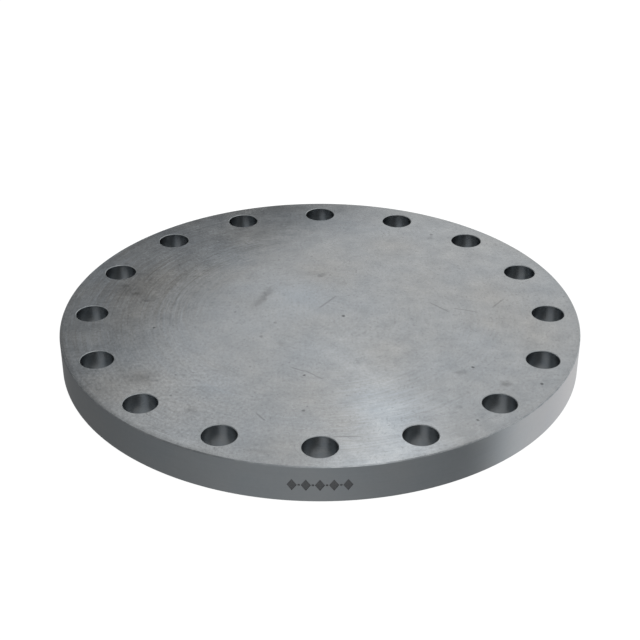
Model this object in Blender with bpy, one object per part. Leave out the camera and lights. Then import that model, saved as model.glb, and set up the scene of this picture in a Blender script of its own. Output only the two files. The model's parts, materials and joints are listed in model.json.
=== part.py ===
"""Blind flange, DN 300 PN 25, EN 1092-1 type 05, facing form A (flat face).

A blind flange closes the end of a flanged pipe. It is one solid steel disc,
faced on both sides, turned on the rim and drilled with a circle of bolt holes.

Frame: +Z up along the disc's axis. The origin is the centre of the gasket
face, and the steel lies below it, down to z = -THICKNESS.
"""

import math

import bmesh
import bpy
from mathutils import Matrix, Vector

# Driving dimensions, in metres. Letters in the comments are the standard's.
OUTER_DIAMETER = 0.485       # D
BOLT_CIRCLE = 0.430          # K, a diameter
HOLE_DIAMETER = 0.030        # L, for an M27 stud
HOLE_COUNT = 16              # n
THICKNESS = 0.034            # C4
RIM_CHAMFER = 0.0010         # broken edge of both faces, at 45 degrees
HOLE_CHAMFER = 0.0008        # deburred mouth of each bolt hole, at 45 degrees
FIRST_HOLE_AZIMUTH = 0.0     # radians; a hole on +X, and so one on each half-axis

OVERRUN = 0.005              # how far a drill passes both faces

# Facets round each turned surface.
RIM_SEGMENTS = 240
HOLE_SEGMENTS = 36

SHARP_ANGLE = math.radians(30.0)   # edges that turn more than this shade sharp
FLAT_NORMAL_Z = 0.999              # a face whose normal is steeper than this is level
MERGE_DISTANCE = 1e-6


def clear_scene():
    for obj in list(bpy.data.objects):
        bpy.data.objects.remove(obj, do_unlink=True)


def machined_steel():
    material = bpy.data.materials.new("machined_carbon_steel")
    material.use_nodes = True
    inputs = material.node_tree.nodes["Principled BSDF"].inputs
    inputs["Base Color"].default_value = (0.42, 0.43, 0.44, 1.0)
    inputs["Roughness"].default_value = 0.42
    inputs["Metallic"].default_value = 1.0
    return material


def mesh_from(name, shape):
    """Store a bmesh as a named mesh and free it."""
    mesh = bpy.data.meshes.new(name)
    shape.to_mesh(mesh)
    shape.free()
    return mesh


def add_object(name, mesh):
    obj = bpy.data.objects.new(name, mesh)
    bpy.context.scene.collection.objects.link(obj)
    return obj


def turned(name, profile, segments):
    """A solid of revolution about Z. The profile runs as (radius, z) from the
    axis at the top, outwards and down, back to the axis at the bottom."""
    shape = bmesh.new()
    chain = [shape.verts.new((radius, 0.0, z)) for radius, z in profile]
    edges = [shape.edges.new(pair) for pair in zip(chain, chain[1:])]
    bmesh.ops.spin(
        shape,
        geom=chain + edges,
        axis=Vector((0.0, 0.0, 1.0)),
        cent=Vector((0.0, 0.0, 0.0)),
        steps=segments,
        angle=2.0 * math.pi,
        use_merge=True,
        use_duplicate=False,
    )
    bmesh.ops.remove_doubles(shape, verts=shape.verts, dist=MERGE_DISTANCE)
    # The two ends are fans of thin triangles round the axis: each becomes one face.
    ends = [face for face in shape.faces if abs(face.normal.z) > FLAT_NORMAL_Z]
    bmesh.ops.dissolve_faces(shape, faces=ends)
    bmesh.ops.recalc_face_normals(shape, faces=shape.faces)
    return mesh_from(name, shape)


def disc_mesh():
    radius = OUTER_DIAMETER / 2.0
    face_radius = radius - RIM_CHAMFER
    profile = [
        (0.0, 0.0),
        (face_radius, 0.0),
        (radius, -RIM_CHAMFER),
        (radius, -THICKNESS + RIM_CHAMFER),
        (face_radius, -THICKNESS),
        (0.0, -THICKNESS),
    ]
    return turned("flange_disc", profile, RIM_SEGMENTS)


def drill_mesh():
    """What a drill and a countersink take out at one bolt hole: a straight
    barrel that flares at 45 degrees through each face."""
    radius = HOLE_DIAMETER / 2.0
    flare_radius = radius + HOLE_CHAMFER + OVERRUN
    profile = [
        (0.0, OVERRUN),
        (flare_radius, OVERRUN),
        (radius, -HOLE_CHAMFER),
        (radius, -THICKNESS + HOLE_CHAMFER),
        (flare_radius, -THICKNESS - OVERRUN),
        (0.0, -THICKNESS - OVERRUN),
    ]
    return turned("drill", profile, HOLE_SEGMENTS)


def add_drills():
    """All the drills as one cutter, each turned so that its first facet edge
    points away from the disc's axis."""
    single = drill_mesh()
    to_bolt_circle = Matrix.Translation((BOLT_CIRCLE / 2.0, 0.0, 0.0))
    drills = bmesh.new()
    for i in range(HOLE_COUNT):
        azimuth = FIRST_HOLE_AZIMUTH + 2.0 * math.pi * i / HOLE_COUNT
        drill = single.copy()
        drill.transform(Matrix.Rotation(azimuth, 4, "Z") @ to_bolt_circle)
        drills.from_mesh(drill)
        bpy.data.meshes.remove(drill)
    bpy.data.meshes.remove(single)

    cutter = add_object("bolt_hole_drills", mesh_from("bolt_hole_drills", drills))
    cutter.hide_render = True
    cutter.display_type = "WIRE"
    return cutter


def add_flange(cutter):
    flange = add_object("blind_flange_disc", disc_mesh())
    flange.data.materials.append(machined_steel())

    holes = flange.modifiers.new("bolt_holes", "BOOLEAN")
    holes.operation = "DIFFERENCE"
    holes.solver = "EXACT"
    holes.object = cutter

    # Each face is one outline round all the holes: well-shaped facets, with a
    # large one at the centre, rather than slivers from rim to rim.
    facets = flange.modifiers.new("facets", "TRIANGULATE")
    facets.quad_method = "FIXED"
    facets.ngon_method = "BEAUTY"

    flange.data.shade_smooth()
    flange.data.set_sharp_from_angle(angle=SHARP_ANGLE)


clear_scene()
add_flange(cutter=add_drills())
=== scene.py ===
"""A blind flange: one turned and drilled disc of bare steel, lying flat.

Its axis is +Z and its front is towards -Y, where the camera stands. The disc's
box gives its radius and thickness, and the record's bolt circle the holes.
Lengths are in metres; the materials work in millimetres.
"""

import json
import math

import bmesh
import bpy
import numpy as np
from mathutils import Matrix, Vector
from mathutils.geometry import delaunay_2d_cdt


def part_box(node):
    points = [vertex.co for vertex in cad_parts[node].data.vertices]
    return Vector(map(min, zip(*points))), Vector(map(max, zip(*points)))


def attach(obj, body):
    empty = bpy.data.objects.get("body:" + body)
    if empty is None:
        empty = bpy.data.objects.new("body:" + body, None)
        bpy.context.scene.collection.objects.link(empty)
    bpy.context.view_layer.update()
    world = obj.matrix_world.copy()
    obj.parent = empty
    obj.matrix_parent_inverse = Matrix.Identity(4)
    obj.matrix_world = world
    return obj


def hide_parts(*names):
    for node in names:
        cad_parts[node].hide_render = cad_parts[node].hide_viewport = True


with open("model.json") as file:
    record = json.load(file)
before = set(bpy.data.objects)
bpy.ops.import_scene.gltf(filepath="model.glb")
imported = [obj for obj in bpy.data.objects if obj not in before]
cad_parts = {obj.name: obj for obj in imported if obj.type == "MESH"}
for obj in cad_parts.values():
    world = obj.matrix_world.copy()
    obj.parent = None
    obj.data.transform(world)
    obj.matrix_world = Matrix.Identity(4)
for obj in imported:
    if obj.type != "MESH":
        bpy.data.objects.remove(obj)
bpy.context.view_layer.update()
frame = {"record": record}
scene = bpy.context.scene

# ---------------------------------------------------------------- dimensions
NODE = "blind_flange_disc"
low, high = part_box(NODE)
RADIUS = (high.x - low.x) / 2.0
TOP = high.z
BASE = low.z
THICK = TOP - BASE
RIM_MM = RADIUS * 1000

bolts = next(m for m in frame["record"]["mounts"] if m["name"] == "gasket_face")["dims"]
PITCH_RADIUS = bolts["pcd_mm"] / 2000.0
HOLE_RADIUS = bolts["hole_r_mm"] / 1000.0
HOLES = int(bolts["count"])
HOLE_AT = [
    (
        PITCH_RADIUS * math.cos(2 * math.pi * i / HOLES),
        PITCH_RADIUS * math.sin(2 * math.pi * i / HOLES),
    )
    for i in range(HOLES)
]

RIM_CHAMFER = 0.0008
LOWER_CHAMFER_SHARE = 0.35  # the lower edge is broken less
RIM_ROUND = 0.00028
LOWER_ROUND = 0.00018
MOUTH_CHAMFER = 0.0005
MOUTH_ROUND = 0.00022
WALL_GAP = 0.0002  # from the end of a broken edge to the wall's first row
RIM_SEGS, RIM_ROWS = 1440, 6
HOLE_SEGS, HOLE_ROWS = 112, 4

# Spacing of the points inside the faces, and their distance from the edges.
FACE_STEP = 0.011
RIM_MARGIN = 0.006
HOLE_MARGIN = 0.004

# The mark in the rim.
MARK_PITCH = 0.0113
MARK_Z = TOP - 0.0178
MARK_DEPTH = 0.00045
CUTTER_PROUD = 0.00025
MARK_SLOPE = 0.8
LOZENGE_X, LOZENGE_Z = 0.0041, 0.0056  # half width and half height
DOT_RADIUS, DOT_SEGS = 0.00105, 20


# ------------------------------------------------------------------ geometry
def circle(radius, count):
    """Evenly spaced points of a circle, counter-clockwise from +X."""
    angles = [2 * math.pi * i / count for i in range(count)]
    return [(radius * math.cos(angle), radius * math.sin(angle)) for angle in angles]


def ripple(theta, seed, waves):
    """A smooth closed wave of theta, about -1 to 1, that is the same each run."""
    rng = np.random.default_rng(seed)
    total = np.zeros_like(theta)
    for n in waves:
        phase = rng.uniform(0, 2 * math.pi)
        total += math.cos(0.7 * n) * np.sin(n * theta + phase) / len(waves) ** 0.5
    return total


def edge_profile(radius, chamfer, round_off, outward, wall_rows):
    """The (radius, depth) of each ring of one wall, top face to bottom face.
    `outward` is +1 where the steel lies inside the radius (the rim) and -1
    where it lies outside (a hole)."""
    reach = chamfer + round_off * math.tan(math.radians(22.5))
    upper = []
    # Face to chamfer: the normal turns from up to 45 degrees.
    for degrees in (0.0, 15.0, 30.0, 45.0):
        angle = math.radians(degrees)
        inset = reach - round_off * math.sin(angle)
        upper.append((radius - outward * inset, round_off * (1.0 - math.cos(angle))))
    # Chamfer to wall: from 45 degrees to square.
    for degrees in (45.0, 60.0, 75.0, 90.0):
        angle = math.radians(degrees)
        inset = round_off * (1.0 - math.sin(angle))
        upper.append((radius - outward * inset, reach - round_off * math.cos(angle)))
    start = reach + WALL_GAP
    upper += [(radius, start + (THICK / 2 - start) * k / wall_rows) for k in range(wall_rows)]
    return upper + [(ring_radius, THICK - depth) for ring_radius, depth in reversed(upper)]


def ring_points(centre, theta, rings):
    """The rings as an array of shape (ring, segment, 3)."""
    points = np.empty((len(rings), len(theta), 3))
    for k, (radius, depth) in enumerate(rings):
        points[k, :, 0] = centre[0] + radius * np.cos(theta)
        points[k, :, 1] = centre[1] + radius * np.sin(theta)
        points[k, :, 2] = TOP - depth
    return points


def disc_walls():
    """The points of the rim and then of each bore. The width of each broken
    edge wanders a little, as filing by hand leaves it."""
    theta = 2 * np.pi * np.arange(RIM_SEGS) / RIM_SEGS
    chamfer = RIM_CHAMFER * (1.0 + 0.07 * ripple(theta, 3, (5, 9, 17, 31, 53)))
    upper = edge_profile(RADIUS, chamfer, RIM_ROUND, +1.0, RIM_ROWS)
    lower = edge_profile(RADIUS, LOWER_CHAMFER_SHARE * chamfer, LOWER_ROUND, +1.0, RIM_ROWS)
    half = len(upper) // 2
    walls = [ring_points((0.0, 0.0), theta, upper[:half] + lower[half:])]

    theta = 2 * np.pi * np.arange(HOLE_SEGS) / HOLE_SEGS
    for i, centre in enumerate(HOLE_AT):
        chamfer = MOUTH_CHAMFER * (1.0 + 0.08 * ripple(theta, 40 + i, (1, 2, 3, 5)))
        rings = edge_profile(HOLE_RADIUS, chamfer, MOUTH_ROUND, -1.0, HOLE_ROWS)
        walls.append(ring_points(centre, theta, rings))
    return walls


def wall_faces(wall, base, is_rim):
    """The quads of one wall, whose points start at vertex `base`."""
    count, segs = wall.shape[:2]
    quads = []
    for k in range(count - 1):
        upper, lower = base + k * segs, base + (k + 1) * segs
        for s in range(segs):
            n = (s + 1) % segs
            quad = (upper + s, lower + s, lower + n, upper + n)
            quads.append(quad if is_rim else quad[::-1])
    return quads


def face_points():
    """Points inside the faces, so that their triangles are even."""
    points = [(0.0, 0.0)]
    for k in range(1, int((RADIUS - RIM_MARGIN) / FACE_STEP)):
        radius = k * FACE_STEP
        count = max(6, int(round(2 * math.pi * radius / FACE_STEP)))
        for i in range(count):
            angle = 2 * math.pi * (i + 0.5 * (k % 2)) / count
            x, y = radius * math.cos(angle), radius * math.sin(angle)
            clear = (HOLE_RADIUS + HOLE_MARGIN) ** 2
            if all((x - hole_x) ** 2 + (y - hole_y) ** 2 > clear for hole_x, hole_y in HOLE_AT):
                points.append((x, y))
    return points


def flat_face(walls, first, inside, inside_first, ring, sign):
    """The triangles of one face, between the walls' rings numbered `ring` and
    through the `inside` points. `sign` is +1 for the top and -1 for the bottom.
    The triangulation works in mm."""
    coords, ids, loops, owner = [], [], [], []
    for w, wall in enumerate(walls):
        count, segs = wall.shape[:2]
        start = len(coords)
        ids.extend(first[w] + (ring % count) * segs + s for s in range(segs))
        coords.extend(Vector((x * 1000, y * 1000)) for x, y, _ in wall[ring])
        owner.extend([w] * segs)
        loops.extend((start + s, start + (s + 1) % segs) for s in range(segs))
    coords.extend(Vector((x * 1000, y * 1000)) for x, y in inside)
    ids.extend(range(inside_first, inside_first + len(inside)))
    owner.extend([-1] * len(inside))

    made, _, triangles, origin, _, _ = delaunay_2d_cdt(coords, loops, [], 1, 1e-5)
    if len(made) != len(coords):
        raise RuntimeError("the face's triangulation merged points")
    faces = []
    for triangle in triangles:
        corners = [origin[i][0] for i in triangle]
        # A triangle with all its corners on one hole's mouth lies across that hole.
        if owner[corners[0]] > 0 and len({owner[i] for i in corners}) == 1:
            continue
        corners = [ids[i] for i in corners]
        here, second, third = (made[i] for i in triangle)
        if (second - here).cross(third - here) * sign < 0:
            corners.reverse()
        faces.append(tuple(corners))
    return faces


def disc_mesh():
    """The whole disc as one closed surface: both faces, the rim with its
    broken edges, and the bores with deburred mouths."""
    verts, faces, first = [], [], []
    walls = disc_walls()
    for wall in walls:
        first.append(len(verts))
        verts.extend(map(tuple, wall.reshape(-1, 3)))
    for w, wall in enumerate(walls):
        faces.extend(wall_faces(wall, first[w], w == 0))
    inside = face_points()
    for ring, z, sign in ((0, TOP, 1), (-1, TOP - THICK, -1)):
        faces.extend(flat_face(walls, first, inside, len(verts), ring, sign))
        verts.extend((x, y, z) for x, y in inside)
    mesh = bpy.data.meshes.new("flange_disc")
    mesh.from_pydata(verts, [], faces)
    mesh.validate()
    return mesh


def cutter_mesh():
    """Cutters for the mark in the front of the rim: a row of five lozenges
    with a small round between each pair, with sloping sides."""
    lozenge = [(-LOZENGE_X, 0.0), (0.0, -LOZENGE_Z), (LOZENGE_X, 0.0), (0.0, LOZENGE_Z)]
    dot = circle(DOT_RADIUS, DOT_SEGS)
    shapes = [(k * MARK_PITCH, lozenge) for k in range(-2, 3)]
    shapes += [(k * MARK_PITCH, dot) for k in (-1.5, -0.5, 0.5, 1.5)]
    bm = bmesh.new()
    for across, outline in shapes:
        half_width = max(abs(x) for x, _ in outline)
        rows = []
        for radius in (RADIUS - MARK_DEPTH, RADIUS + CUTTER_PROUD):
            grow = 1.0 + MARK_SLOPE * (radius - RADIUS) / half_width
            row = []
            for x, z in outline:
                angle = -math.pi / 2 + (across + x * grow) / RADIUS
                point = (radius * math.cos(angle), radius * math.sin(angle), MARK_Z + z * grow)
                row.append(bm.verts.new(point))
            rows.append(row)
        inner, outer = rows
        bm.faces.new(inner)
        bm.faces.new(outer[::-1])
        for i in range(len(outline)):
            j = (i + 1) % len(outline)
            bm.faces.new((inner[i], outer[i], outer[j], inner[j]))
    return finish_bmesh(bm, "mark_cutters")


def finish_bmesh(bm, name):
    """A mesh from a bmesh, with its normals made consistent."""
    bmesh.ops.recalc_face_normals(bm, faces=bm.faces)
    mesh = bpy.data.meshes.new(name)
    bm.to_mesh(mesh)
    bm.free()
    return mesh


def sink_mark(mesh):
    """The disc's mesh with the rim mark cut into it."""
    blank = bpy.data.objects.new("disc_blank", mesh)
    cutter = bpy.data.objects.new("mark_cutters", cutter_mesh())
    for part in (blank, cutter):
        scene.collection.objects.link(part)
    cut = blank.modifiers.new("mark", "BOOLEAN")
    cut.operation = "DIFFERENCE"
    cut.solver = "EXACT"
    cut.object = cutter
    bpy.context.view_layer.update()
    graph = bpy.context.evaluated_depsgraph_get()
    result = bpy.data.meshes.new_from_object(blank.evaluated_get(graph), depsgraph=graph)
    result.name = "flange_disc_marked"
    for part in (blank, cutter):
        data = part.data
        bpy.data.objects.remove(part, do_unlink=True)
        bpy.data.meshes.remove(data)
    return result


# The material slots, in order.
FACE, RIM, BORE, EDGE, MARK = range(5)
EDGE_ZONE = 0.0016  # how far from a wall a broken edge may reach
LEVEL_GAP = 0.00001  # how far from a face's height still counts as that face
MARK_CLEAR = 0.0045  # the mark lies at least this far from both faces
MARK_SUNK = 0.00004  # a rim face sunk deeper than this belongs to the mark


def sort_faces(mesh):
    """Gives each face its material and its shading: the turned faces flat,
    everything else smooth."""
    count = len(mesh.polygons)
    normal = np.empty(count * 3)
    centre = np.empty(count * 3)
    mesh.polygons.foreach_get("normal", normal)
    mesh.polygons.foreach_get("center", centre)
    steep = np.abs(normal.reshape(-1, 3)[:, 2])
    x, y, z = centre.reshape(-1, 3).T
    holes = np.array(HOLE_AT)
    to_hole = np.min(np.hypot(x[:, None] - holes[None, :, 0], y[:, None] - holes[None, :, 1]), axis=1)
    radius = np.hypot(x, y)
    depth = TOP - z
    near_hole = to_hole < HOLE_RADIUS + EDGE_ZONE
    outer = radius > RADIUS - EDGE_ZONE
    level = (steep > 0.9995) & ((depth < LEVEL_GAP) | (depth > THICK - LEVEL_GAP))
    upright = steep < 0.13
    in_wall = (depth > MARK_CLEAR) & (depth < THICK - MARK_CLEAR)
    index = np.full(count, FACE)
    index[near_hole & ~level] = EDGE
    index[near_hole & ~level & upright] = BORE
    index[outer & ~level] = EDGE
    index[outer & ~level & upright] = RIM
    index[outer & ~level & in_wall & (radius < RADIUS - MARK_SUNK)] = MARK
    mesh.polygons.foreach_set("material_index", index.astype(np.int32))
    mesh.set_sharp_from_angle(angle=math.radians(32.0))
    mesh.polygons.foreach_set("use_smooth", (~level).astype(bool))
    mesh.update()


# ----------------------------------------------------------- node expressions
def add_node(tree, kind, inputs=None, **settings):
    """A node with its settings, and its inputs by name or number. An input is
    a Value to link from, or a plain default."""
    made = tree.nodes.new(kind)
    for key, setting in settings.items():
        setattr(made, key, setting)
    for key, given in (inputs or {}).items():
        if isinstance(given, Value):
            tree.links.new(given.socket, made.inputs[key])
        else:
            made.inputs[key].default_value = given
    return made


def calc(operation, *operands):
    """A maths node; at least one operand is a Value."""
    tree = next(item.tree for item in operands if isinstance(item, Value))
    made = add_node(tree, "ShaderNodeMath", dict(enumerate(operands)), operation=operation)
    return Value(made)


class Value:
    """A node's output, written in expressions. Each operation adds one node,
    with its operands in the order written."""

    def __init__(self, node, output=0):
        self.tree = node.id_data
        self.socket = node.outputs[output]

    def __add__(self, other):
        return calc("ADD", self, other)

    def __radd__(self, other):
        return calc("ADD", other, self)

    def __sub__(self, other):
        return calc("SUBTRACT", self, other)

    def __rsub__(self, other):
        return calc("SUBTRACT", other, self)

    def __mul__(self, other):
        return calc("MULTIPLY", self, other)

    def __truediv__(self, other):
        return calc("DIVIDE", self, other)

    def __abs__(self):
        return calc("ABSOLUTE", self)

    def ramp(self, start, end, low=0.0, high=1.0, kind="SMOOTHSTEP"):
        """low before start and high after end, smoothly between."""
        inputs = {
            "Value": self, "From Min": start, "From Max": end, "To Min": low, "To Max": high,
        }
        return Value(
            add_node(self.tree, "ShaderNodeMapRange", inputs, interpolation_type=kind, clamp=True),
            "Result",
        )

    def fall(self, start, end):
        """1 before start and 0 after end."""
        return self.ramp(start, end, 1.0, 0.0)

    def band(self, rise_start, rise_end, fall_start, fall_end):
        """1 in the middle and 0 outside."""
        return self.ramp(rise_start, rise_end) * self.fall(fall_start, fall_end)

    def split(self):
        made = add_node(self.tree, "ShaderNodeSeparateXYZ", {0: self})
        return [Value(made, i) for i in range(3)]

    def scale(self, factor):
        inputs = {0: self, "Scale": factor}
        return Value(add_node(self.tree, "ShaderNodeVectorMath", inputs, operation="SCALE"))

    def noise(self, scale=1.0, detail=2.0, rough=0.5, output="Fac"):
        inputs = {
            "Vector": self, "Scale": scale, "Detail": detail, "Roughness": rough, "Distortion": 0.0,
        }
        made = add_node(self.tree, "ShaderNodeTexNoise", inputs, noise_dimensions="3D")
        return Value(made, output)

    def cells(self, scale):
        """The distance to the nearest of scattered points."""
        inputs = {"Vector": self, "Scale": scale, "Randomness": 1.0}
        settings = {"voronoi_dimensions": "3D", "feature": "F1"}
        return Value(add_node(self.tree, "ShaderNodeTexVoronoi", inputs, **settings), "Distance")

    def blend(self, first, second):
        """A mix of two colours, by this value."""
        inputs = {0: self, 6: (*first, 1.0), 7: (*second, 1.0)}
        settings = {"data_type": "RGBA", "clamp_factor": False}
        return Value(add_node(self.tree, "ShaderNodeMix", inputs, **settings), 2)

    def bump(self, distance):
        """A normal from this height; `distance` is in metres."""
        inputs = {"Height": self, "Distance": distance, "Strength": 1.0}
        return Value(add_node(self.tree, "ShaderNodeBump", inputs))


def vector(x, y, z):
    return Value(add_node(x.tree, "ShaderNodeCombineXYZ", {0: x, 1: y, 2: z}))


def most(first, *others):
    for other in others:
        first = calc("MAXIMUM", first, other)
    return first


def length(x, y):
    return calc("SQRT", x * x + y * y)


def bearing(y, x):
    """The angle of (x, y) in degrees, counter-clockwise from +X."""
    return calc("ARCTAN2", y, x) * (180.0 / math.pi)


def stroke(x, y, start, end, width, fade):
    """A line from start to end, in mm, that thins out towards its ends."""
    run_x, run_y = end[0] - start[0], end[1] - start[1]
    square = run_x * run_x + run_y * run_y
    size = square ** 0.5
    along = (x - start[0]) * (run_x / square) + (y - start[1]) * (run_y / square)
    across = abs((x - start[0]) * (run_y / size) - (y - start[1]) * (run_x / size))
    return across.fall(0.0, width) * along.band(0.0, fade, 1.0 - fade, 1.0)


def spot(x, y, centre, size, soft, stretch=(1.0, 1.0)):
    """A round or oval patch; `soft` is the share of its radius that fades."""
    away = length((x - centre[0]) * (1.0 / stretch[0]), (y - centre[1]) * (1.0 / stretch[1]))
    return away.fall(size * (1.0 - soft), size)


# ---------------------------------------------------------------- materials
# Wide, faint patches on the upper face, in mm: x, y, size, change of brightness, change of warmth.
# The warmth is stain colour. The brightness is partly stain and partly painted light and shade: the
# darker patches on the left and at the back edge are painted shade, and the row of lighter patches
# along the bright streak at the front is a painted highlight.
STAIN_AND_LIGHT_PATCHES = (
    (-62, 78, 60, 0.13, 0.0), (-5, 135, 62, 0.13, 0.0), (-24, 34, 45, 0.10, -0.40),
    (-214, -72, 50, 0.20, -0.20), (-180, 60, 38, -0.13, 0.30), (-42, 214, 50, -0.22, -0.20),
    (52, -158, 42, 0.11, -0.35), (30, -95, 36, 0.06, 0.0), (62, -214, 44, 0.06, -0.35),
    (0, 88, 48, 0.0, 0.45), (-158, 66, 46, 0.0, 0.35), (-176, 8, 44, 0.0, 0.45),
    (92, 36, 46, 0.0, 0.35), (60, -76, 34, 0.0, 0.40), (200, -18, 60, 0.0, 0.50),
    (-166, -124, 48, 0.0, 0.50), (-14, -134, 42, 0.0, 0.45), (124, 124, 60, 0.0, 0.30),
    (-28, -220, 36, 0.0, 0.45), (-70, 162, 36, 0.0, 0.30), (-216, 84, 50, 0.0, -0.45),
    (-224, 0, 42, 0.0, -0.40), (-152, 150, 56, 0.0, -0.40), (0, -62, 50, 0.0, -0.30),
    (126, -92, 50, 0.0, -0.30), (4, 192, 52, 0.0, -0.35), (50, -126, 26, 0.09, 0.0),
    (50, -166, 26, 0.07, 0.0), (168, 138, 60, 0.04, 0.0), (160, -95, 40, 0.045, 0.0),
    (60, 175, 34, 0.09, 0.0), (8, 150, 30, 0.05, 0.0), (-200, -112, 26, 0.13, 0.0),
    (-188, 122, 30, 0.10, 0.0), (-125, 176, 24, 0.12, 0.0), (24, 228, 16, -0.12, 0.0),
    (-26, 228, 14, -0.08, 0.0), (228, 72, 26, 0.08, 0.0), (-184, 40, 30, -0.12, 0.0),
    (-78, -52, 26, -0.06, 0.0), (-172, -50, 22, -0.05, 0.0), (-214, -34, 24, 0.07, 0.0),
    (-138, -32, 26, 0.06, 0.0), (10, -60, 30, 0.05, 0.0), (138, -45, 30, 0.05, 0.0),
    (-52, 82, 20, 0.05, 0.0), (-78, -200, 20, 0.06, 0.0), (125, -198, 22, -0.07, 0.0),
    (80, -176, 18, -0.05, 0.0), (125, -4, 22, 0.05, 0.0), (31, -97, 13, 0.05, 0.0),
    (43, -140, 13, 0.05, 0.0), (54, -186, 13, 0.06, 0.0), (96, -185, 12, -0.05, 0.0),
    (75, 140, 34, 0.0, 0.50), (165, 45, 40, 0.0, 0.50), (200, 72, 26, 0.0, 0.25),
    (-76, 48, 24, 0.0, -0.45), (-102, 18, 34, 0.0, -0.35), (-90, 112, 30, 0.0, -0.30),
    (135, -38, 30, 0.0, -0.40), (-182, -78, 44, 0.0, -0.35), (-214, 20, 30, 0.0, -0.30),
    (-88, -128, 28, 0.0, -0.35), (-112, -200, 26, 0.0, -0.35), (-112, 200, 26, 0.0, -0.40),
    (-160, 164, 24, 0.0, -0.30), (200, -55, 26, 0.0, 0.30), (15, -172, 22, 0.0, 0.30),
    (-106, -214, 20, 0.10, 0.0), (-70, -226, 12, 0.03, 0.0),
)
PATCH_SPREAD = 1.25

# Scratches on both faces, in mm: start, end, width, strength.
SCRATCHES = (
    ((-2.5, 8), (17, 36), 1.7, 0.85), ((103, 23), (124, 1), 1.5, 0.8),
    ((124, 11), (151, 2), 1.5, 0.7), ((-27, -94), (-12, -103), 1.3, 0.9),
    ((-15, -99), (3, -115), 1.2, 0.8), ((-54, -166), (-45, -179), 1.4, 0.8),
    ((163, 10), (178, 30), 1.5, 0.75), ((8, -200), (36, -201), 1.2, 0.8),
    ((-66, 86), (-70, 68), 2.80, 0.26),
)

# Dark smudges on both faces, in mm: centre, size, stretch in x and y, strength.
SMUDGES = (
    ((1, 76), 5.5, (1.3, 1.0), 1.1), ((-50, 45), 8.0, (0.9, 1.3), 0.9),
    ((-5, 80), 13.0, (1.6, 0.8), 0.35), ((124, -103), 6.5, (1.3, 1.0), 1.2),
    ((161, -122), 7.0, (1.2, 1.0), 1.6), ((-155, -111), 16.0, (1.3, 1.0), 1.0),
    ((-108, -162), 7.0, (1.0, 1.2), 0.7), ((-50, -221), 9.0, (2.0, 0.8), 0.6),
    ((23, 60), 7.0, (1.2, 1.0), 0.5), ((-178, 38), 6.0, (1.2, 1.0), 1.9),
    ((-167, 25), 5.0, (1.2, 1.0), 1.5), ((-33, 58), 7.0, (1.6, 0.9), 0.45),
    ((34, -85), 4.5, (1.0, 1.0), 0.7), ((40, 5), 8.0, (1.3, 1.0), 0.35),
    ((-35, -55), 5.5, (1.0, 1.4), 0.5), ((115, 157), 6.0, (1.0, 1.0), 0.5),
    ((-191, 54), 5.0, (1.2, 1.0), 1.7), ((84, -160), 5.0, (1.0, 1.0), 0.5),
    ((117, -158), 4.5, (1.0, 1.0), 0.8), ((-96, -60), 8.0, (1.0, 1.0), 0.35),
)

# Single pits on both faces, in mm: centre, size, strength.
PITS = (
    ((22, -4.5), 2.0, 1.0), ((-14, -108), 1.7, 0.9), ((135, -95), 2.0, 1.0),
    ((192, -122), 2.0, 1.0), ((131, -177), 1.8, 0.8), ((-14, -163), 2.2, 0.6),
    ((117, 166), 2.2, 0.6), ((-154, -26), 1.8, 0.8), ((-42, -17), 2.0, 0.4),
    ((-54, -42), 2.2, 0.4),
)


def steel(name, look):
    """A bare steel material. `look` takes the place in mm, in the object's
    frame, and returns the shader's inputs."""
    material = bpy.data.materials.new(name)
    material.use_nodes = True
    tree = material.node_tree
    tree.nodes.clear()
    place = Value(add_node(tree, "ShaderNodeTexCoord"), "Object").scale(1000.0)
    inputs = {"Metallic": 1.0, **look(place)}
    shader = Value(add_node(tree, "ShaderNodeBsdfPrincipled", inputs))
    add_node(tree, "ShaderNodeOutputMaterial", {"Surface": shader})
    return material


def painted_edge_light(x, y):
    """Round the rim, by bearing in degrees: where painted shade darkens the edge, on the left front
    and the right front, and where a painted highlight lightens it, at the front."""
    around = bearing(y, x)
    painted_edge_shade = most(
        around.band(-177.0, -165.0, -114.0, -102.0),
        around.band(-78.0, -70.0, -60.0, -53.0) * 0.7,
    )
    return painted_edge_shade, around.band(-97.0, -86.0, -79.0, -74.0)


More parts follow.
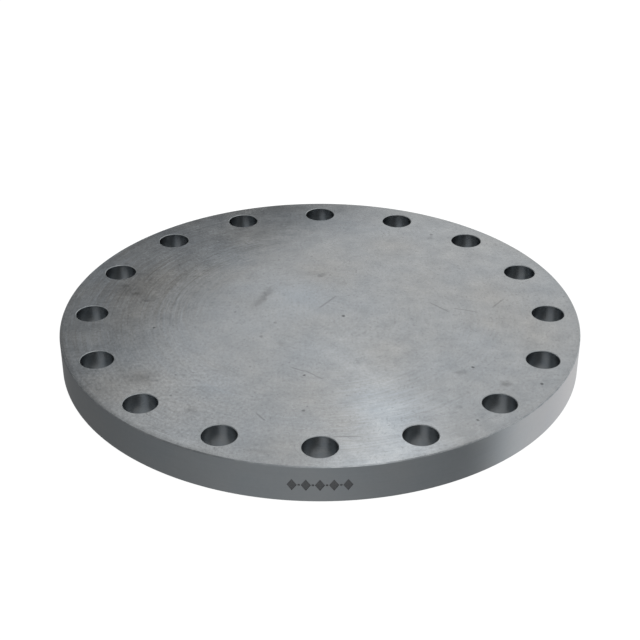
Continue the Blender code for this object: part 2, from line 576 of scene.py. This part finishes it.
def turned_face(place):
    """The faces: fine concentric tool marks under a dry, lightly stained surface, with specks,
    handling scratches and a few pits. The upper face also carries painted light and shade: in some of
    its tone patches, as glints along the bright streak at the front, and along its edge."""
    x, y, z = place.split()
    radius = calc("SQRT", x * x + y * y + 1e-6)
    out_x, out_y = x / radius, y / radius
    side = z.ramp(-20.0, -10.0, 37.0, 0.0)  # so that the two faces differ
    flat = vector(x, y, side)

    def tool_marks(pitch, run, detail, rough):
        """Streaks along the tool's path, `pitch` apart and `run` long, in mm."""
        path = vector(radius * (1.0 / pitch), x * (1.0 / run), y * (1.0 / run) + side)
        return path.noise(detail=detail, rough=rough)

    broad = tool_marks(pitch=4.6, run=150.0, detail=2.0, rough=0.5)
    arcs = tool_marks(pitch=1.8, run=60.0, detail=2.0, rough=0.5)
    fine = tool_marks(pitch=1.3, run=16.0, detail=2.0, rough=0.6)
    grain = tool_marks(pitch=2.4, run=5.0, detail=3.0, rough=0.68)
    speck = vector(x, y * 0.75, side).noise(scale=0.35, detail=3.0, rough=0.58)
    blotch = flat.noise(scale=0.055, detail=3.0, rough=0.52)
    cloud = flat.noise(scale=0.0105, detail=2.0, rough=0.45)

    # Where the marks show most: in a rough ring on the left, which is also grittier, and in a
    # smoother patch along the bright streak at the front, where the stronger marks in the colour are
    # painted glints.
    ring = x.fall(-140.0, -20.0) * radius.ramp(90.0, 150.0)
    brushed_and_glint_patch = spot(x, y, (48, -168), size=105, soft=0.9)
    patchy = flat.noise(scale=0.009, detail=1.0, rough=0.4).ramp(0.38, 0.62, low=0.7, high=1.2)
    front = y.fall(-120.0, -40.0)
    show = patchy * (0.22 + ring * (0.78 - front * 0.42) + brushed_and_glint_patch * 0.30)

    # The patches' brightness is partly stain and partly painted light and shade; their warmth is
    # stain colour.
    bright = tint = 0.0
    for patch_x, patch_y, size, stain_and_light, warmer in STAIN_AND_LIGHT_PATCHES:
        patch = spot(x, y, (patch_x, patch_y), size * PATCH_SPREAD, soft=1.0)
        if stain_and_light:
            bright = bright + patch * stain_and_light
        if warmer:
            tint = tint + patch * warmer
    upper = z.ramp(-20.0, -10.0)
    bright, tint = bright * upper, tint * upper

    # The marks hold a little rust-brown where they show.
    warm = 0.5 + (cloud - 0.5) * 1.3 + (blotch - 0.5) * 0.6 + tint
    warm = warm + show * (0.5 - arcs) * 1.2
    colour = warm.blend((0.396, 0.420, 0.442), (0.432, 0.431, 0.423))

    # Brightness: each pattern swings about 0.5, by an amount set by the place.
    grit = front * 0.30
    speck_swing = x.ramp(40.0, 140.0, low=0.37, high=0.27) + ring * (0.20 + grit) + brushed_and_glint_patch * -0.12
    blotch_swing = 0.41 + brushed_and_glint_patch * -0.12 + y.ramp(60.0, 150.0, low=0.0, high=0.12)
    tone = (
        1.008
        + bright
        + (broad - 0.5) * show * 0.20
        # Along the streak at the front the arcs and fine marks are stronger in the colour: painted
        # glints.
        + (arcs - 0.5) * (show * 0.46 + brushed_and_glint_patch * 0.16)
        + (fine - 0.5) * (show * 0.34 + brushed_and_glint_patch * 0.10)
        + (grain - 0.5) * (0.14 + ring * (0.12 + front * 0.20))
        + (speck - 0.5) * speck_swing
        + (blotch - 0.5) * blotch_swing
    )

    marks = most(*[
        stroke(x, y, start, end, width, fade=0.2) * strength
        for start, end, width, strength in SCRATCHES
    ])
    # The smudges have ragged edges, pushed about by noise.
    ragged = flat.noise(scale=0.13, detail=3.0, rough=0.62, output="Color")
    warp_x, warp_y, _ = ragged.split()
    near_x = x + (warp_x - 0.5) * 11.0
    near_y = y + (warp_y - 0.5) * 11.0
    smear = most(
        stroke(near_x, near_y, (-43, 58), (-67, 3), width=8.0, fade=0.45) * 1.15,
        *[
            spot(near_x, near_y, centre, size, 0.95, stretch) * strength
            for centre, size, stretch, strength in SMUDGES
        ],
    )
    pits = most(*[spot(x, y, centre, size, 0.6) * strength for centre, size, strength in PITS])
    # Smaller random pits, faint stains and flecks, all over.
    pick = flat.noise(scale=0.075, detail=0.0).ramp(0.50, 0.62)
    tiny = flat.cells(scale=0.075).fall(0.045, 0.11) * pick
    stain = flat.noise(scale=0.16).ramp(0.58, 0.76)
    fleck = vector(x, y * 0.7, side).noise(scale=0.42, rough=0.55).ramp(0.56, 0.72)
    dark = marks * 0.34 + smear * 0.22 + pits * 0.70 + tiny * 0.22 + stain * 0.10 + fleck * 0.17
    tone = tone * dark.ramp(0.0, 1.0, low=1.0, high=0.0, kind="LINEAR")

    # The last few millimetres before the edge are slightly darker all round.
    worn = radius.ramp(RIM_MM - 7.0, RIM_MM - 1.0)
    tone = tone * (1.0 - worn * 0.03)
    # Painted shade and a painted highlight along the face's edge, by bearing.
    painted_edge_shade, painted_edge_highlight = painted_edge_light(x, y)
    tone = tone * (1.0 - painted_edge_shade * painted_edge_shade * radius.ramp(RIM_MM - 6.0, RIM_MM - 1.3) * 0.21)
    tone = tone * (1.0 + painted_edge_highlight * radius.ramp(RIM_MM - 3.5, RIM_MM - 1.0) * 0.12)

    rough = 0.155 + (arcs - 0.5) * 0.05 + (blotch - 0.5) * 0.06 + (speck - 0.5) * 0.04
    height = show * (arcs * 0.42 + broad * 1.0 + fine * 0.20)
    height = height + grain * 0.08 + speck * 0.12 + blotch * 0.8
    height = height + marks * -0.5 + pits * -2.0 + tiny * -0.6
    return {
        "Base Color": colour.scale(tone),
        "Roughness": rough + smear * 0.03,
        "Anisotropic": 0.40,
        "Tangent": vector(out_x, out_y, 0.0),
        "Normal": height.bump(0.00003),
    }


def turned_rim(place):
    """The rim: turned along its circumference and left satin."""
    x, y, z = place.split()
    radius = length(x, y)
    out_x, out_y = x / radius, y / radius
    lines = vector(out_x * 3.0, out_y * 3.0, z * 1.1).noise(detail=3.0, rough=0.65)
    fine = vector(out_x * 9.0, out_y * 9.0, z * 3.2).noise(detail=2.0, rough=0.6)
    cloud = place.noise(scale=0.022, detail=3.0, rough=0.55)
    speck = place.noise(scale=0.35, detail=3.0, rough=0.6)
    colour = cloud.ramp(0.36, 0.66).blend((0.409, 0.438, 0.460), (0.420, 0.441, 0.456))
    tone = 1.0 + (lines - 0.5) * 0.14 + (fine - 0.5) * 0.08
    tone = tone + (cloud - 0.5) * 0.08 + (speck - 0.5) * 0.10
    return {
        "Base Color": colour.scale(tone),
        "Roughness": 0.30 + (lines - 0.5) * 0.08 + (cloud - 0.5) * 0.04,
        "Anisotropic": 0.6,
        "Tangent": (0.0, 0.0, 1.0),
        "Normal": (lines * 0.7 + fine * 0.3 + speck * 0.15).bump(0.00002),
    }


def drilled_bore(place):
    """The bolt holes: drilled, with close rings down the wall."""
    x, y, z = place.split()
    rings = vector(x * 0.06, y * 0.06, z * 1.6).noise(detail=2.0, rough=0.6)
    cloud = place.noise(scale=0.12, detail=3.0, rough=0.55)
    colour = cloud.ramp(0.4, 0.62).blend((0.332, 0.358, 0.378), (0.358, 0.374, 0.384))
    return {
        "Base Color": colour.scale(1.0 + (rings - 0.5) * 0.22 + (cloud - 0.5) * 0.2),
        "Roughness": 0.25 + (rings - 0.5) * 0.08,
        "Anisotropic": 0.4,
        "Tangent": (0.0, 0.0, 1.0),
        "Normal": rings.bump(0.00002),
    }


def broken_edge(place):
    """Filed edges: worn and uneven, with painted shade and a painted highlight by bearing along the
    rim's edges.
    """
    wear = place.noise(scale=0.12, detail=4.0, rough=0.65)
    nick = place.noise(scale=0.9, detail=2.0, rough=0.6)
    colour = wear.ramp(0.38, 0.62).blend((0.33, 0.35, 0.365), (0.42, 0.435, 0.445))
    x, y, _ = place.split()
    painted_edge_shade, painted_edge_highlight = painted_edge_light(x, y)
    at_rim = length(x, y).ramp(RIM_MM - 4.0, RIM_MM - 3.0)
    # Along the rim the tone carries painted shade and a painted highlight, by bearing.
    tone = 0.9 + nick * 0.2 + at_rim * painted_edge_shade * -0.38 + at_rim * painted_edge_highlight * 0.40
    return {
        "Base Color": colour.scale(tone),
        "Roughness": wear.ramp(0.35, 0.65, low=0.42, high=0.28),
        "Normal": (nick + wear).bump(0.00005),
    }


def sunk_mark(place):
    """The floor and sides of the rim mark: matt and darker."""
    grit = place.noise(scale=1.6, detail=3.0, rough=0.65)
    return {
        "Base Color": grit.ramp(0.35, 0.65).blend((0.155, 0.160, 0.165), (0.225, 0.230, 0.235)),
        "Roughness": 0.5 + (grit - 0.5) * 0.2,
        "Normal": grit.bump(0.00008),
    }


# ---------------------------------------------------------------- the piece
mesh = sink_mark(disc_mesh())
mesh.materials.clear()
for look in (turned_face, turned_rim, drilled_bore, broken_edge, sunk_mark):
    title = "filed_edge" if look is broken_edge else look.__name__
    mesh.materials.append(steel(title + "_steel", look))
sort_faces(mesh)
disc = bpy.data.objects.new("flange_disc", mesh)
scene.collection.objects.link(disc)
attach(disc, "root")
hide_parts(NODE)


# -------------------------------------------------------------------- studio
# Light from the horizon and below: bearing in degrees, brightness.
HORIZON = (
    (-180, 0.215), (-158, 0.253), (-124, 0.36), (-90, 0.41), (-56, 0.305), (-39, 0.295),
    (-26, 0.17), (-14, 0.155), (-3, 0.82), (7, 1.11), (20, 0.865), (40, 0.975), (52, 1.02),
    (62, 0.80), (68, 0.72), (77, 1.50), (83, 0.64), (91, 0.21), (105, 0.27), (127, 0.18),
    (160, 0.19), (180, 0.215),
)
HORIZON_RANGE = 2.0  # the ramp holds brightness divided by this


def horizon_light(around):
    wheel = add_node(around.tree, "ShaderNodeValToRGB", {0: around * (1.0 / 360.0) + 0.5})
    wheel.color_ramp.interpolation = "EASE"
    elements = wheel.color_ramp.elements
    for k, (angle, level) in enumerate(HORIZON):
        position = (angle + 180.0) / 360.0
        # A new ramp already has two elements.
        element = elements[k] if k < 2 else elements.new(position)
        element.position = position
        element.color = (*[level / HORIZON_RANGE] * 3, 1.0)
    return Value(wheel) * HORIZON_RANGE


def tent_light(around, up, back):
    """A pale tent, dark along its left side, with a shade card and two lamps."""
    left = most(around.ramp(106.0, 126.0), around.fall(-115.0, -85.0))
    tent = 0.79 + up.ramp(30.0, 50.0) * back.ramp(0.0, 0.5) * -0.32
    tent = tent * (1.0 - left) + left * 0.47
    # The card is behind and to the left: a leaning right side, a soft left
    # side and a sloping top.
    off = around - 90.0
    card = (
        (around - (up - 25.0) * 0.245).ramp(84.8, 88.5)
        * around.fall(107.0, 120.0)
        * (up - off * 0.665).fall(24.6, 26.7)
    )

    def lamp(azimuth, elevation, width, height, skew, strength):
        """A soft round light; angles in degrees."""
        above = up - elevation
        across = (around - azimuth - above * skew) * (1.0 / width)
        rise = above * (1.0 / height)
        return calc("EXPONENT", (across * across + rise * rise) * -0.5) * strength

    # The key, high behind, and a fainter light along the top of the card.
    return (
        tent * (1.0 - card * 0.91)
        + lamp(83.4, 48.2, width=2.5, height=5.0, skew=-0.23, strength=6.0)
        + lamp(100.0, 28.6, width=7.0, height=2.4, skew=0.0, strength=0.28)
    )


def studio():
    """Soft surroundings: a broad bright wall to the right and behind, a soft
    overhead light, and shade to the left. The camera sees plain white."""
    world = bpy.data.worlds.new("studio")
    scene.world = world
    world.use_nodes = True
    tree = world.node_tree
    tree.nodes.clear()
    x, y, z = Value(add_node(tree, "ShaderNodeTexCoord"), "Generated").split()
    around = bearing(y, x)
    up = bearing(z, length(x, y))  # elevation
    below, above = horizon_light(around), tent_light(around, up, y)
    level = below * up.fall(0.0, 14.0) + above * up.ramp(0.0, 14.0)

    # Cool, but neutral low down on the right, and there partly a little pink.
    low_down = up.fall(-5.0, 5.0)
    neutral = around.ramp(-8.0, 20.0) * around.ramp(100.0, 130.0, low=1.0, high=0.4) * low_down
    pink = around.band(2.0, 20.0, 44.0, 60.0) * low_down
    colour = vector(
        level * (0.985 + neutral * 0.037),
        level * (1.0 - pink * 0.014),
        level * (1.01 - neutral * 0.025),
    )
    lit = Value(add_node(tree, "ShaderNodeBackground", {"Color": colour}))
    plain = Value(add_node(tree, "ShaderNodeBackground", {"Color": (1.0, 1.0, 1.0, 1.0)}))
    seen = Value(add_node(tree, "ShaderNodeLightPath"), "Is Camera Ray")
    chosen = Value(add_node(tree, "ShaderNodeMixShader", {0: seen, 1: lit, 2: plain}))
    add_node(tree, "ShaderNodeOutputWorld", {"Surface": chosen})


def floor():
    """A plain white floor that the flange lies on. It takes only a faint
    shadow, and the steel mirrors the studio and not the floor."""
    segs = 96
    bm = bmesh.new()
    rows = [
        [bm.verts.new((x, y, 0.0)) for x, y in circle(radius, segs)]
        for radius in (0.3, 1.2, 4.0, 12.0)
    ]
    bm.faces.new(rows[0])
    for inner, outer in zip(rows, rows[1:]):
        for i in range(segs):
            j = (i + 1) % segs
            bm.faces.new((inner[i], outer[i], outer[j], inner[j]))
    mesh = finish_bmesh(bm, "floor")

    material = bpy.data.materials.new("floor_paper")
    material.use_nodes = True
    tree = material.node_tree
    tree.nodes.clear()
    paper = Value(add_node(tree, "ShaderNodeBsdfDiffuse", {"Color": (0.9, 0.9, 0.9, 1.0)}))
    light = {"Color": (1.0, 1.0, 1.0, 1.0), "Strength": 1.21}
    glow = Value(add_node(tree, "ShaderNodeEmission", light))
    both = Value(add_node(tree, "ShaderNodeMixShader", {0: 0.78, 1: paper, 2: glow}))
    add_node(tree, "ShaderNodeOutputMaterial", {"Surface": both})
    mesh.materials.append(material)
    made = bpy.data.objects.new("floor", mesh)
    made.location = (0.0, 0.0, BASE)
    made.visible_glossy = False
    made.visible_diffuse = False
    scene.collection.objects.link(made)


studio()
floor()

# The camera stands in front and looks down at the disc.
camera = bpy.data.cameras.new("camera")
camera.sensor_width = 36.0
camera.lens = 75.26
camera.clip_start = 0.05
camera.clip_end = 50.0
eye = bpy.data.objects.new("camera", camera)
eye.location = (0.0, -4.5118 * RADIUS, TOP + 2.5992 * RADIUS)
eye.rotation_euler = (math.radians(59.774), 0.0, 0.0)
scene.collection.objects.link(eye)
scene.camera = eye

scene.view_settings.view_transform = "Standard"
scene.view_settings.look = "None"
